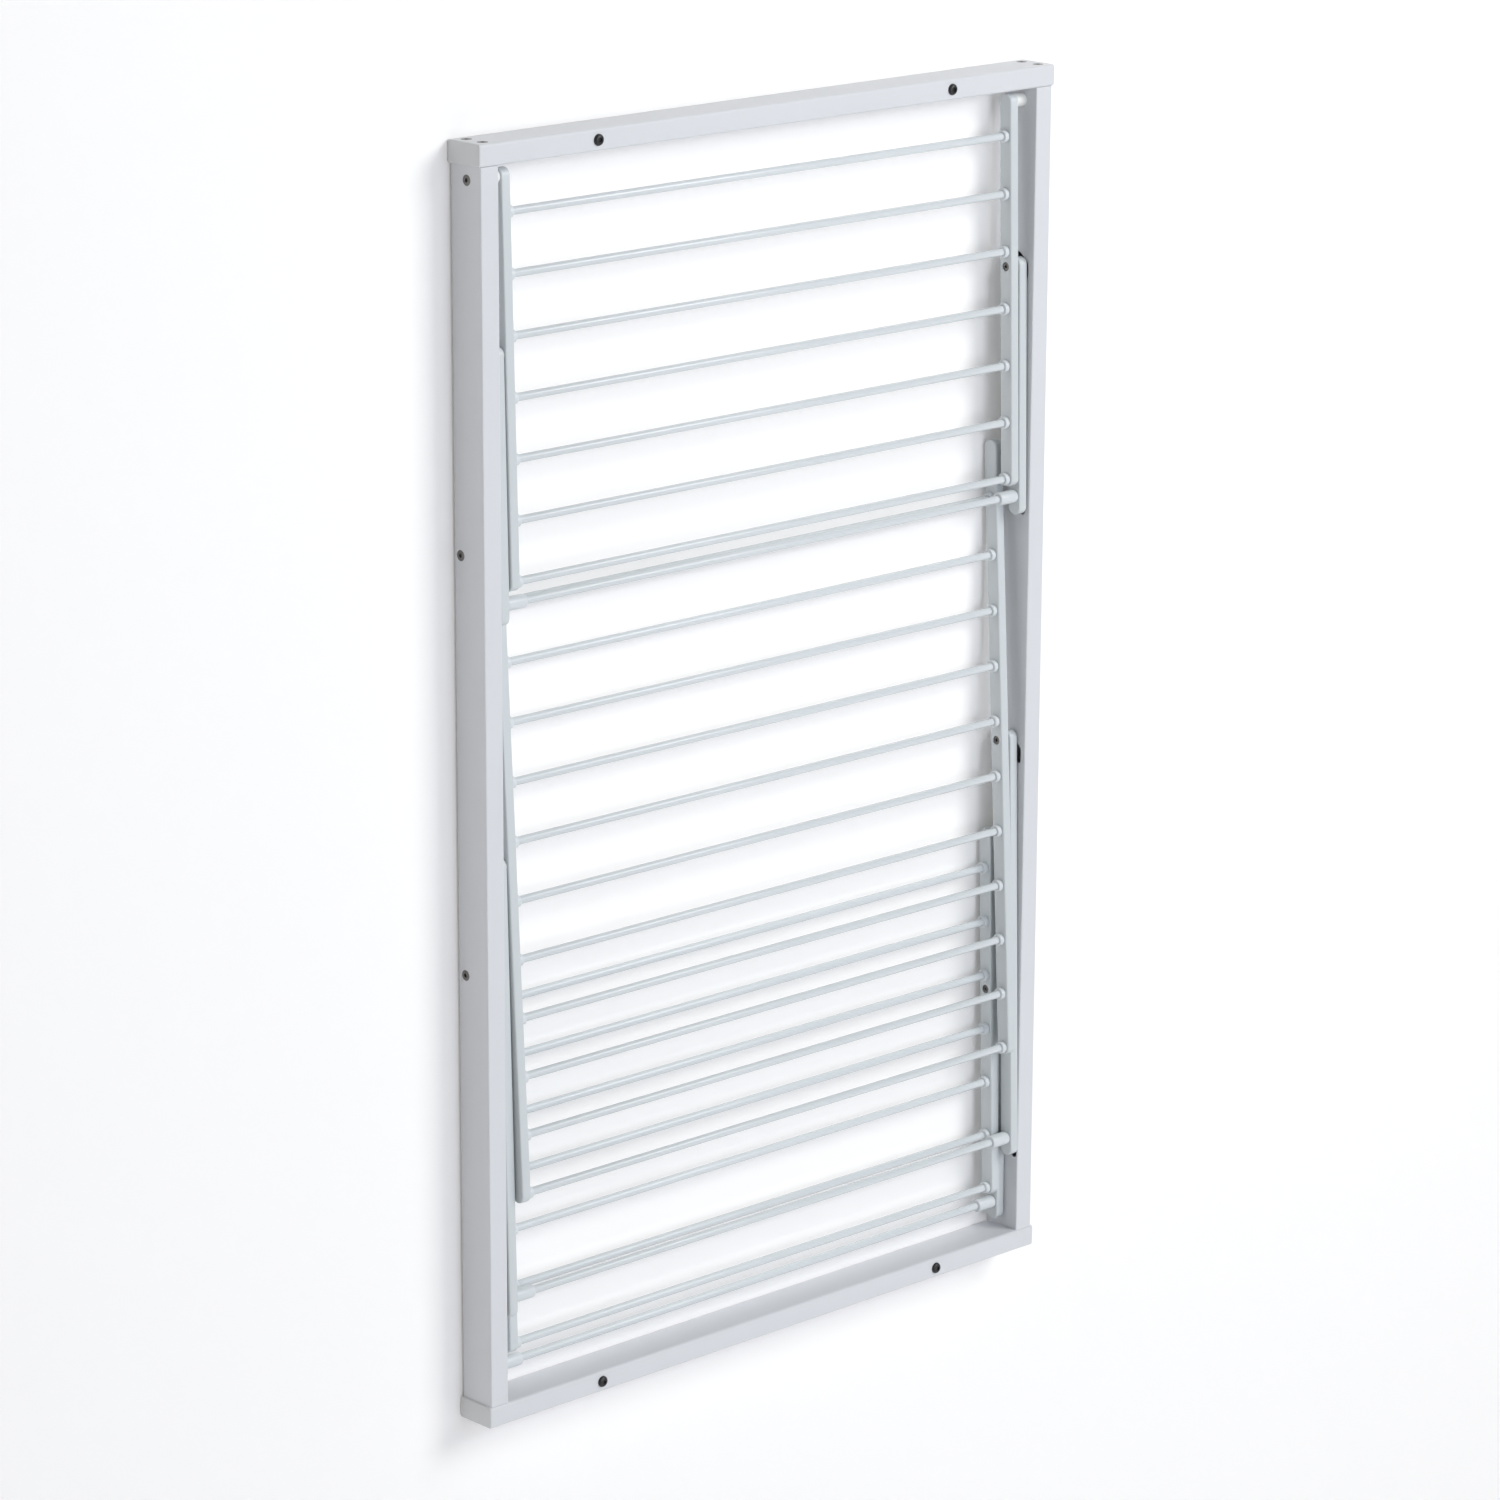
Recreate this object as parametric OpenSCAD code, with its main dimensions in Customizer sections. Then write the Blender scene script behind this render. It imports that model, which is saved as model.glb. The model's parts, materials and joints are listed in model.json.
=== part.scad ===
// Wall mounted fold down drying rack, folded flat.
// Lengths are in millimetres and angles in degrees.
// X runs across the rack, Y runs into the wall and Z runs up.
// The origin is on the wall, at the centre of the four wall screws.

/* [Frame] */
// Width of the frame across the ends of the rails
frame_width = 660; // [560:1:900]
// Height of the frame over both rails
frame_height = 1100; // [1000:1:1400]
// Depth of the rails, from the wall to their front face
rail_depth = 40; // [34:0.5:60]
// Height of each rail
rail_height = 19; // [15:0.5:30]
// Radius along the four long edges of each rail
rail_corner = 2.5; // [1:0.25:4]
// Wall of the rail tube
rail_wall = 1.5; // [1:0.1:3]
// Plate of each rail end cap
cap_plate = 2; // [1:0.5:5]
// Length of each end cap inside the rail
cap_plug = 24; // [18:1:40]
// Width of each post across the rack
post_width = 19; // [15:0.5:30]
// Depth of each post, from back to front
post_depth = 37; // [30:0.5:56]
// Corner radius of the post tube
post_corner = 1.2; // [0.6:0.1:3]
// Wall of the post tube
post_wall = 1.5; // [1:0.1:3]
// Step from a rail end to the outer face of the post
post_inset = 2; // [0.5:0.5:10]
// Step from the front of the rails to the front of the posts
post_setback = 1; // [0.5:0.5:6]
// Height of the block inside each post end
post_block_height = 8; // [6:0.5:9]

/* [Shelves] */
// Width of each shelf arm, seen from the side
arm_width = 14; // [10:0.5:20]
// Thickness of each shelf arm across the rack
arm_thickness = 9.5; // [6:0.5:14]
// Diameter of the hanging rods
rod_diameter = 7; // [5:0.5:9]
// Distance from one hanging rod to the next
rod_pitch = 51; // [40:0.5:60]
// Depth of each rod's seat in its arm
rod_seat = 6; // [3:0.5:10]
// Outer diameter of the collar at each rod end
collar_diameter = 11; // [9:0.5:14]
// Length of the collar at each rod end
collar_length = 5; // [3:0.5:10]
// Number of rods in the upper shelf
upper_rods_count = 7; // [3:1:8]
// Number of rods in the middle shelf
middle_rods_count = 11; // [5:1:12]
// Number of rods in the lower shelf
lower_rods_count = 7; // [3:1:8]
// Upper shelf, from its pivot to the first rod
upper_first_rod = 30; // [20:1:60]
// Middle shelf, from its pivot to the first rod
middle_first_rod = 46; // [20:1:60]
// Lower shelf, from its pivot to the first rod
lower_first_rod = 30; // [20:1:60]
// Upper shelf pivot below the top of the frame
upper_pivot_drop = 31; // [26:0.5:60]
// Middle shelf pivot below the upper shelf pivot
middle_pivot_drop = 311; // [280:1:360]
// Lower shelf pivot below the middle shelf pivot
lower_pivot_drop = 360; // [340:1:400]
// Upper shelf pivot out from the wall
upper_pivot_out = 21.5; // [15:0.5:40]
// Middle shelf pivot out from the wall
middle_pivot_out = 9.5; // [9:0.5:20]
// Lower shelf pivot out from the wall
lower_pivot_out = 10.5; // [9:0.5:20]
// Lean of the folded upper shelf away from the wall
upper_lean = 1.5; // [0.5:0.25:3]
// Lean of the folded middle shelf away from the wall
middle_lean = 3; // [1.5:0.25:4]
// Lean of the folded lower shelf away from the wall
lower_lean = 1.75; // [0.5:0.25:3]

/* [Links] */
// Width of each link, seen from the side
link_width = 14; // [10:0.5:20]
// Thickness of each link across the rack
link_thickness = 9.5; // [6:0.5:14]
// Upper shelf, from its pivot to the link pin
upper_link_pin = 145.5; // [120:0.5:170]
// Middle shelf, from its pivot to the link pin
middle_link_pin = 268; // [240:0.5:300]
// Lower shelf, from its pivot to the link pin
lower_link_pin = 145.5; // [120:0.5:170]
// Upper link, from its pin to the cross bar
upper_link_length = 208; // [190:0.5:240]
// Middle link, from its pin to the cross bar
middle_link_length = 379.5; // [350:0.5:400]
// Lower link, from its pin to the cross bar
lower_link_length = 208; // [190:0.5:240]
// Lean of the folded upper link away from the wall
upper_link_lean = 1.2; // [0:0.1:3]
// Lean of the folded middle link away from the wall
middle_link_lean = 1.5; // [0:0.1:3]
// Lean of the folded lower link away from the wall
lower_link_lean = 0.5; // [0:0.1:3]
// Length of each link below the cross bar
link_tail = 17; // [8:0.5:25]
// Diameter of each cross bar
cross_bar_diameter = 7; // [5:0.5:9]
// Outer diameter of the sleeves on the cross bars
sleeve_diameter = 12; // [9:0.5:14]
// Length of each sleeve
sleeve_length = 21; // [10:0.5:40]
// Width of the guide slots in the posts
slot_width = 6.8; // [5:0.1:9]
// Upper guide slot below the folded cross bar
upper_slot_run = 15; // [6:0.5:25]
// Middle guide slot below the folded cross bar
middle_slot_run = 18; // [6:0.5:25]
// Lower guide slot below the folded cross bar
lower_slot_run = 8; // [6:0.5:10]
// Diameter of the guide pins that ride in the slots
guide_pin_diameter = 6; // [4:0.1:8]
// Depth of each guide pin's seat in its link
guide_pin_seat = 3; // [2:0.5:5]
// Upper locking hook seat out from the wall
upper_hook_out = 29; // [24:0.5:40]
// Middle locking hook seat out from the wall
middle_hook_out = 30.5; // [24:0.5:40]
// Lower locking hook seat out from the wall
lower_hook_out = 23; // [18:0.5:40]
// Distance from a guide slot forward to its locking hook
hook_reach = 8.5; // [7:0.5:12]
// Depth of the locking hook
hook_drop = 9; // [6:0.5:15]

/* [Fasteners] */
// Distance between the two wall screws in each rail
wall_screw_spacing = 406.4; // [300:0.1:500]
// Diameter of the wall screws' thread
wall_screw_diameter = 5; // [4:0.1:8]
// Diameter of the wall screws' plain shank inside the rail
wall_screw_shank = 4; // [3:0.1:4]
// Diameter of the domed wall screw heads
wall_screw_head = 10; // [8:0.5:14]
// Height of the domed wall screw heads
wall_screw_dome = 3; // [2:0.1:5]
// Length of each wall screw beyond the back of the rail
wall_screw_reach = 35; // [20:1:60]
// Distance between the two frame screws at each post end
frame_screw_spacing = 20; // [14:0.5:28]
// Diameter of the frame screws
frame_screw_diameter = 4; // [3:0.1:6]
// Length of each frame screw in the post block
frame_screw_bite = 7; // [4:0.5:9]
// Diameter of the flush heads on frame screws and pivot bolts
flush_head = 9.5; // [8:0.5:12]
// Depth of the flush heads
flush_head_depth = 2.4; // [1.5:0.1:4]
// Diameter of the shelf pivot bolts and link screws
pivot_diameter = 5; // [4:0.1:6]
// Outer diameter of the pivot bushes
bush_diameter = 12; // [9:0.5:14]
// Outer diameter of the link washers
washer_diameter = 10; // [8:0.5:13]
// Head diameter of the link screws
link_screw_head = 8; // [6:0.5:10]
// Depth of the link screw heads' recess in the arms
link_screw_head_depth = 3; // [2:0.1:5]
// Step from the face of an arm down to a link screw head
link_screw_sink = 1; // [0:0.1:2]
// Width of the hexagonal sockets in the screw heads, across their corners
recess_width = 4; // [2:0.1:5]
// Depth of the hexagonal sockets
recess_depth = 1.2; // [0.5:0.1:2]

/* [Clearances] */
// Gap between a post and a link
post_gap = 1; // [0.5:0.1:3]
// Gap between a link and an arm
arm_gap = 1.5; // [0.8:0.1:3]
// Gap left where a fixed face meets a turning face
face_gap = 0.4; // [0.3:0.05:1]
// Radial clearance of pivots in their bores
running_fit = 0.05; // [0.02:0.01:0.1]
// Radial clearance of fixed parts in their seats
seat_fit = 0.1; // [0.05:0.05:0.3]
// Metal left between a blind bore and the far face
blind_floor = 1.5; // [1:0.1:3]

/* [Hidden] */
$fn = 96;
powder_white = [0.87, 0.88, 0.92];
cap_white = [0.84, 0.85, 0.88];
zinc_grey = [0.62, 0.63, 0.64];
wall_screw_black = [0.05, 0.05, 0.05];
sides = [-1, 1];
post_outer = frame_width / 2 - post_inset;
post_inner = post_outer - post_width;
post_front = -rail_depth + post_setback;
post_middle = post_front + post_depth / 2;
post_height = frame_height - 2 * rail_height;
rail_level = (frame_height - rail_height) / 2;
link_outer = post_inner - post_gap;
link_inner = link_outer - link_thickness;
arm_outer = link_inner - arm_gap;
arm_inner = arm_outer - arm_thickness;
rods_count = [upper_rods_count, middle_rods_count, lower_rods_count];
first_rod = [upper_first_rod, middle_first_rod, lower_first_rod];
lean = [upper_lean, middle_lean, lower_lean];
link_pin = [upper_link_pin, middle_link_pin, lower_link_pin];
link_length = [upper_link_length, middle_link_length, lower_link_length];
link_lean = [upper_link_lean, middle_link_lean, lower_link_lean];
slot_run = [upper_slot_run, middle_slot_run, lower_slot_run];
hook_y = [-upper_hook_out, -middle_hook_out, -lower_hook_out];
upper_pivot_z = frame_height / 2 - upper_pivot_drop;
middle_pivot_z = upper_pivot_z - middle_pivot_drop;
lower_pivot_z = middle_pivot_z - lower_pivot_drop;
pivot_y = [-upper_pivot_out, -middle_pivot_out, -lower_pivot_out];
pivot_z = [upper_pivot_z, middle_pivot_z, lower_pivot_z];
shelves = [0, 1, 2];
bar_seat = link_thickness - blind_floor - guide_pin_seat;

// Length of an arm from its pivot to its last rod.
function arm_length(shelf) = first_rod[shelf] + (rods_count[shelf] - 1) * rod_pitch;

// Y and Z of the point a distance below a shelf's pivot, along its folded arm.
function on_arm(shelf, along) = [
    pivot_y[shelf] - along * sin(lean[shelf]),
    pivot_z[shelf] - along * cos(lean[shelf])
];

// Y and Z of the cross bar when the shelf is folded.
function folded_bar(shelf) = on_arm(shelf, link_pin[shelf]) - link_length[shelf]
    * [sin(link_lean[shelf]), cos(link_lean[shelf])];

// Y and Z of the hook seat, where the cross bar holds the open arm level.
function hook_seat(shelf) = [
    hook_y[shelf],
    pivot_z[shelf] - sqrt(pow(link_length[shelf], 2)
        - pow(hook_y[shelf] - pivot_y[shelf] + link_pin[shelf], 2))
];

// Y and Z of the top of the guide slot, behind and above the hook.
function slot_top(shelf) = hook_seat(shelf) + [hook_reach, hook_drop + hook_reach];

// Unit vector along the guide slot, from the folded cross bar to the slot's top.
function slot_way(shelf) =
    (slot_top(shelf) - folded_bar(shelf)) / norm(slot_top(shelf) - folded_bar(shelf));

// Y and Z of the lower end of the guide slot.
function slot_foot(shelf) = folded_bar(shelf) - slot_run[shelf] * slot_way(shelf);

// A rectangle with round corners, centred on the origin.
module round_rectangle(across, up, corner) {
    square([across - 2 * corner, up], center = true);
    square([across, up - 2 * corner], center = true);
    for (i = sides, j = sides)
        translate([i * (across / 2 - corner), j * (up / 2 - corner)]) circle(r = corner);
}

// A flat profile in Y and Z, made solid along X from start to end.
module across_x(start, end) {
    translate([start, 0, 0]) rotate([90, 0, 90]) linear_extrude(end - start) children();
}

// A round bar along X from start to end.
module bar_x(start, end, diameter) {
    translate([start, 0, 0]) rotate([0, 90, 0]) cylinder(d = diameter, h = end - start);
}

// Children drawn for the right side, repeated on the left.
module both_sides() {
    children();
    mirror([1, 0, 0]) children();
}

// A straight slot of one width between two points.
module groove(from, to) {
    run = to - from;
    translate(from) circle(d = slot_width);
    translate(to) circle(d = slot_width);
    translate(from) rotate(atan2(run[1], run[0]))
        translate([0, -slot_width / 2]) square([norm(run), slot_width]);
}

// A bar seen from the side, round at both ends, hanging down from the origin.
module hanging_bar(width, down) {
    circle(d = width);
    translate([0, -down]) circle(d = width);
    translate([-width / 2, -down]) square([width, down]);
}

// Children placed on a shelf's pivot and leaned to its folded angle.
module on_shelf(shelf) {
    translate([0, pivot_y[shelf], pivot_z[shelf]]) rotate([-lean[shelf], 0, 0]) children();
}

// Children placed on a link's pin and leaned to its folded angle.
module on_link(shelf) {
    pin = on_arm(shelf, link_pin[shelf]);
    translate([0, pin[0], pin[1]]) rotate([-link_lean[shelf], 0, 0]) children();
}

// The hexagonal socket in a screw head whose face is at the origin and looks up.
module driver_recess() {
    translate([0, 0, -recess_depth])
        cylinder(d = recess_width, h = recess_depth + face_gap, $fn = 6);
}

// A screw with a flush head, pointing down from the origin.
module flush_screw(diameter, down) {
    difference() {
        union() {
            translate([0, 0, -flush_head_depth])
                cylinder(d1 = diameter, d2 = flush_head, h = flush_head_depth);
            translate([0, 0, -down]) cylinder(d = diameter, h = down - flush_head_depth);
        }
        driver_recess();
    }
}

// The space that a flush screw takes, with its clearance.
module flush_bore(diameter, down) {
    bore = diameter + 2 * seat_fit;
    translate([0, 0, -flush_head_depth])
        cylinder(d1 = bore, d2 = flush_head + 2 * seat_fit, h = flush_head_depth);
    cylinder(d = flush_head + 2 * seat_fit, h = face_gap);
    translate([0, 0, -down]) cylinder(d = bore, h = down);
}

// Children placed on each frame screw at the upper end of the right post.
module at_top_screws() {
    for (i = sides)
        translate([
            post_inner + post_width / 2,
            post_middle + i * frame_screw_spacing / 2,
            frame_height / 2
        ]) children();
}

// Children drawn for one end of the frame, turned over to the other end.
module other_end() {
    mirror([0, 0, 1]) children();
}

// Children drawn for the lower end of the right post, repeated at all four post ends.
module at_post_ends() {
    both_sides() {
        children();
        other_end() children();
    }
}

// The space for one frame screw, from the outside of its rail into the post block.
module frame_screw_bore() {
    flush_bore(frame_screw_diameter, rail_height + frame_screw_bite + seat_fit);
}

// The rail tube, centred on the origin and running along X.
module rail_tube() {
    length = frame_width - 2 * cap_plate;
    across_x(-length / 2, length / 2) translate([-rail_depth / 2, 0]) difference() {
        round_rectangle(rail_depth, rail_height, rail_corner);
        round_rectangle(
            rail_depth - 2 * rail_wall,
            rail_height - 2 * rail_wall,
            rail_corner - rail_wall / 2
        );
    }
}

// The bottom rail with its holes for wall screws and frame screws.
module rail_below() {
    difference() {
        translate([0, 0, -rail_level]) rail_tube();
        for (i = sides)
            translate([i * wall_screw_spacing / 2, face_gap, -rail_level]) rotate([90, 0, 0])
                cylinder(d = wall_screw_diameter + 2 * seat_fit, h = rail_depth + 2 * face_gap);
        both_sides() other_end() at_top_screws() frame_screw_bore();
    }
}

module bottom_rail() {
    color(powder_white) rail_below();
}

module top_rail() {
    color(powder_white) other_end() rail_below();
}

// One end cap at the right end of the bottom rail.
module rail_end_cap() {
    difference() {
        translate([0, -rail_depth / 2, -rail_level]) {
            across_x(frame_width / 2 - cap_plate, frame_width / 2)
                round_rectangle(rail_depth, rail_height, rail_corner);
            across_x(frame_width / 2 - cap_plate - cap_plug, frame_width / 2 - cap_plate)
                round_rectangle(
                    rail_depth - 2 * rail_wall - 2 * seat_fit,
                    rail_height - 2 * rail_wall - 2 * seat_fit,
                    rail_corner - rail_wall / 2
                );
        }
        other_end() at_top_screws() frame_screw_bore();
    }
}

module rail_end_caps() {
    color(cap_white) at_post_ends() rail_end_cap();
}

// The right post, with bores for the pivot bolts and slots for the guide pins.
module post() {
    difference() {
        translate([post_inner + post_width / 2, post_middle, -post_height / 2])
            linear_extrude(post_height) difference() {
                round_rectangle(post_width, post_depth, post_corner);
                round_rectangle(
                    post_width - 2 * post_wall,
                    post_depth - 2 * post_wall,
                    post_corner / 2
                );
            }
        for (shelf = shelves) {
            pivot_bore(shelf);
            across_x(post_inner - face_gap, post_inner + post_wall + face_gap) {
                groove(slot_foot(shelf), slot_top(shelf));
                groove(slot_top(shelf), hook_seat(shelf) + [0, hook_drop]);
                groove(hook_seat(shelf) + [0, hook_drop], hook_seat(shelf));
            }
        }
    }
}

// The space for one pivot bolt through the right post.
module pivot_bore(shelf) {
    translate([post_outer, pivot_y[shelf], pivot_z[shelf]]) rotate([0, 90, 0])
        flush_bore(pivot_diameter, post_width + face_gap);
}

module right_post() {
    color(powder_white) post();
}

module left_post() {
    color(powder_white) mirror([1, 0, 0]) post();
}

// One threaded block in the lower end of the right post.
module post_block() {
    fit = post_wall + seat_fit;
    difference() {
        translate([post_inner + post_width / 2, post_middle, -post_height / 2])
            linear_extrude(post_block_height) round_rectangle(
                post_width - 2 * fit,
                post_depth - 2 * fit,
                post_corner / 2
            );
        other_end() at_top_screws() frame_screw_bore();
    }
}

module post_blocks() {
    color(zinc_grey) at_post_ends() post_block();
}

module frame_screws() {
    color(zinc_grey) at_post_ends() other_end() at_top_screws()
        flush_screw(frame_screw_diameter, rail_height + frame_screw_bite);
}

// One wall screw, looking out of the rail from the origin.
module wall_screw() {
    curve = (pow(wall_screw_head / 2, 2) + pow(wall_screw_dome, 2)) / (2 * wall_screw_dome);
    difference() {
        union() {
            intersection() {
                translate([0, 0, wall_screw_dome - curve]) sphere(r = curve);
                cylinder(d = wall_screw_head, h = wall_screw_dome);
            }
            translate([0, 0, -rail_depth]) cylinder(d = wall_screw_shank, h = rail_depth);
            translate([0, 0, -rail_depth - wall_screw_reach])
                cylinder(d = wall_screw_diameter, h = wall_screw_reach);
        }
        translate([0, 0, wall_screw_dome]) driver_recess();
    }
}

module wall_screws() {
    color(wall_screw_black) for (i = sides, j = sides)
        translate([i * wall_screw_spacing / 2, -rail_depth, j * rail_level]) rotate([90, 0, 0])
            wall_screw();
}

module pivot_bolts() {
    reach = post_outer - arm_inner - blind_floor - face_gap;
    color(zinc_grey) both_sides() for (shelf = shelves)
        translate([post_outer, pivot_y[shelf], pivot_z[shelf]]) rotate([0, 90, 0])
            flush_screw(pivot_diameter, reach);
}

// A ring along X from start to end, round a bar of the given diameter.
module ring_x(start, end, outside, bar) {
    difference() {
        bar_x(start, end, outside);
        bar_x(start - face_gap, end + face_gap, bar + 2 * seat_fit);
    }
}

module pivot_bushes() {
    color(powder_white) both_sides() for (shelf = shelves)
        translate([0, pivot_y[shelf], pivot_z[shelf]])
            ring_x(arm_outer + face_gap, post_inner, bush_diameter, pivot_diameter);
}

// Children placed on every rod of a shelf.
module at_rods(shelf) {
    on_shelf(shelf) for (i = [0:rods_count[shelf] - 1])
        translate([0, 0, -first_rod[shelf] - i * rod_pitch]) children();
}

// The right arm of a shelf.
module arm(shelf) {
    difference() {
        on_shelf(shelf) across_x(arm_inner, arm_outer)
            hanging_bar(arm_width, arm_length(shelf));
        on_shelf(shelf)
            bar_x(arm_inner + blind_floor, arm_outer + face_gap, pivot_diameter + 2 * running_fit);
        at_rods(shelf)
            bar_x(arm_inner - face_gap, arm_inner + rod_seat, rod_diameter + 2 * seat_fit);
        on_shelf(shelf) translate([0, 0, -link_pin[shelf]]) {
            bar_x(arm_inner, arm_outer + face_gap, pivot_diameter + 2 * seat_fit);
            bar_x(
                arm_inner - face_gap,
                arm_inner + link_screw_head_depth,
                link_screw_head + 2 * seat_fit
            );
        }
    }
}

// All the hanging rods of a shelf.
module rods(shelf) {
    reach = arm_inner + rod_seat - seat_fit;
    color(powder_white) at_rods(shelf) bar_x(-reach, reach, rod_diameter);
}

// The collars at both ends of every rod of a shelf.
module collars(shelf) {
    color(powder_white) both_sides() at_rods(shelf)
        ring_x(arm_inner - collar_length, arm_inner, collar_diameter, rod_diameter);
}

// The two screws that carry a shelf's links.
module link_screws(shelf) {
    color(zinc_grey) both_sides() on_shelf(shelf) translate([0, 0, -link_pin[shelf]])
        difference() {
            union() {
                bar_x(
                    arm_inner + link_screw_sink,
                    arm_inner + link_screw_head_depth,
                    link_screw_head
                );
                bar_x(
                    arm_inner + link_screw_head_depth,
                    link_outer - blind_floor - face_gap,
                    pivot_diameter
                );
            }
            translate([arm_inner + link_screw_sink, 0, 0]) rotate([0, -90, 0])
                driver_recess();
        }
}

// The washers between a shelf's arms and links.
module link_washers(shelf) {
    color(cap_white) both_sides() on_shelf(shelf) translate([0, 0, -link_pin[shelf]])
        ring_x(arm_outer, link_inner - face_gap, washer_diameter, pivot_diameter);
}

// The right link of a shelf.
module link(shelf) {
    on_link(shelf) difference() {
        across_x(link_inner, link_outer)
            hanging_bar(link_width, link_length[shelf] + link_tail - link_width / 2);
        bar_x(link_inner - face_gap, link_outer - blind_floor, pivot_diameter + 2 * running_fit);
        translate([0, 0, -link_length[shelf]]) {
            bar_x(
                link_inner - face_gap,
                link_inner + bar_seat,
                cross_bar_diameter + 2 * seat_fit
            );
            bar_x(
                link_outer - guide_pin_seat,
                link_outer + face_gap,
                guide_pin_diameter + 2 * seat_fit
            );
        }
    }
}

// Children placed on a shelf's folded cross bar.
module at_cross_bar(shelf) {
    on_link(shelf) translate([0, 0, -link_length[shelf]]) children();
}

// The bar that joins the feet of a shelf's links.
module cross_bar(shelf) {
    reach = link_inner + bar_seat - seat_fit;
    color(powder_white) at_cross_bar(shelf) bar_x(-reach, reach, cross_bar_diameter);
}

// The two sleeves on a shelf's cross bar.
module sleeves(shelf) {
    color(powder_white) both_sides() at_cross_bar(shelf)
        ring_x(link_inner - sleeve_length, link_inner, sleeve_diameter, cross_bar_diameter);
}

// The two guide pins, cut off just clear of the posts.
module guide_pins(shelf) {
    color(zinc_grey) both_sides() at_cross_bar(shelf)
        bar_x(
            link_outer - guide_pin_seat + seat_fit,
            post_inner - face_gap,
            guide_pin_diameter
        );
}

module upper_left_arm() {
    color(powder_white) mirror([1, 0, 0]) arm(0);
}

module upper_left_link() {
    color(powder_white) mirror([1, 0, 0]) link(0);
}

module upper_right_arm() {
    color(powder_white) arm(0);
}

module upper_right_link() {
    color(powder_white) link(0);
}

module upper_rods() {
    rods(0);
}

module upper_collars() {
    collars(0);
}

module upper_link_screws() {
    link_screws(0);
}

module upper_link_washers() {
    link_washers(0);
}

module upper_cross_bar() {
    cross_bar(0);
}

module upper_sleeves() {
    sleeves(0);
}

module upper_guide_pins() {
    guide_pins(0);
}

module middle_left_arm() {
    color(powder_white) mirror([1, 0, 0]) arm(1);
}

module middle_left_link() {
    color(powder_white) mirror([1, 0, 0]) link(1);
}

module middle_right_arm() {
    color(powder_white) arm(1);
}

module middle_right_link() {
    color(powder_white) link(1);
}

module middle_rods() {
    rods(1);
}

module middle_collars() {
    collars(1);
}

module middle_link_screws() {
    link_screws(1);
}

module middle_link_washers() {
    link_washers(1);
}

module middle_cross_bar() {
    cross_bar(1);
}

module middle_sleeves() {
    sleeves(1);
}

module middle_guide_pins() {
    guide_pins(1);
}

module lower_left_arm() {
    color(powder_white) mirror([1, 0, 0]) arm(2);
}

module lower_left_link() {
    color(powder_white) mirror([1, 0, 0]) link(2);
}

module lower_right_arm() {
    color(powder_white) arm(2);
}

module lower_right_link() {
    color(powder_white) link(2);
}

module lower_rods() {
    rods(2);
}

module lower_collars() {
    collars(2);
}

module lower_link_screws() {
    link_screws(2);
}

module lower_link_washers() {
    link_washers(2);
}

module lower_cross_bar() {
    cross_bar(2);
}

module lower_sleeves() {
    sleeves(2);
}

module lower_guide_pins() {
    guide_pins(2);
}

top_rail();
bottom_rail();
left_post();
right_post();
rail_end_caps();
post_blocks();
frame_screws();
wall_screws();
pivot_bolts();
pivot_bushes();
upper_left_arm();
upper_right_arm();
upper_rods();
upper_collars();
upper_link_screws();
upper_link_washers();
upper_left_link();
upper_right_link();
upper_cross_bar();
upper_sleeves();
upper_guide_pins();
middle_left_arm();
middle_right_arm();
middle_rods();
middle_collars();
middle_link_screws();
middle_link_washers();
middle_left_link();
middle_right_link();
middle_cross_bar();
middle_sleeves();
middle_guide_pins();
lower_left_arm();
lower_right_arm();
lower_rods();
lower_collars();
lower_link_screws();
lower_link_washers();
lower_left_link();
lower_right_link();
lower_cross_bar();
lower_sleeves();
lower_guide_pins();
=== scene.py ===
import json
import math

import bmesh
import bpy
from mathutils import Matrix, Vector


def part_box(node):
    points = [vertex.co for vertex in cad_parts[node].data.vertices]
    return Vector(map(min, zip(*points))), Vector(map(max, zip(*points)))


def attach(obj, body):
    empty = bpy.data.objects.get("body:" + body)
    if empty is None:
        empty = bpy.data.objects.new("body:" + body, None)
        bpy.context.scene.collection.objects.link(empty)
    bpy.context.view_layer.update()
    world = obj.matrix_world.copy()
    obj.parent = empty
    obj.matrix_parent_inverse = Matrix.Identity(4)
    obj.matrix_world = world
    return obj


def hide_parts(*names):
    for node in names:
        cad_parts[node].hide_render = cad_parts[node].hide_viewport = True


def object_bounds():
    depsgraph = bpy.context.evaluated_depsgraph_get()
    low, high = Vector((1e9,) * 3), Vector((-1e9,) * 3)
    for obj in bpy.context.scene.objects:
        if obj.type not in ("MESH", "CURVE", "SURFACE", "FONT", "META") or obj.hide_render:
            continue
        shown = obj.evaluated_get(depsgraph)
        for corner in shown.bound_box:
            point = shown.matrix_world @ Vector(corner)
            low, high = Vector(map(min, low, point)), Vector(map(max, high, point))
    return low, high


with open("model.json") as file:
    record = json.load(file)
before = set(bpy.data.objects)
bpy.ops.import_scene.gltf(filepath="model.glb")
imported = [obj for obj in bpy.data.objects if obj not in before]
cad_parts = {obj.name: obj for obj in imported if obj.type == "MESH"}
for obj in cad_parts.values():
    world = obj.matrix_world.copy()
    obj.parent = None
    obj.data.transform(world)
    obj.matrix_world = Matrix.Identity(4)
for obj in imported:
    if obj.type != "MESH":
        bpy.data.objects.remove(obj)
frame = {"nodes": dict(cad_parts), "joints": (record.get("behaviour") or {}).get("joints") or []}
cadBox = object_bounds()
nodes = frame["nodes"]
jointAt = {joint["name"]: Vector(joint["pos_m"]) for joint in frame["joints"]}
tiers = ["upper", "middle", "lower"]
mm = 0.001
acrossTurn = (0, math.pi / 2, 0)  # turns an upright cylinder so that it runs along X
toLeft = (-1, 1, 1)  # the scale of a mirror image on the left
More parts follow.
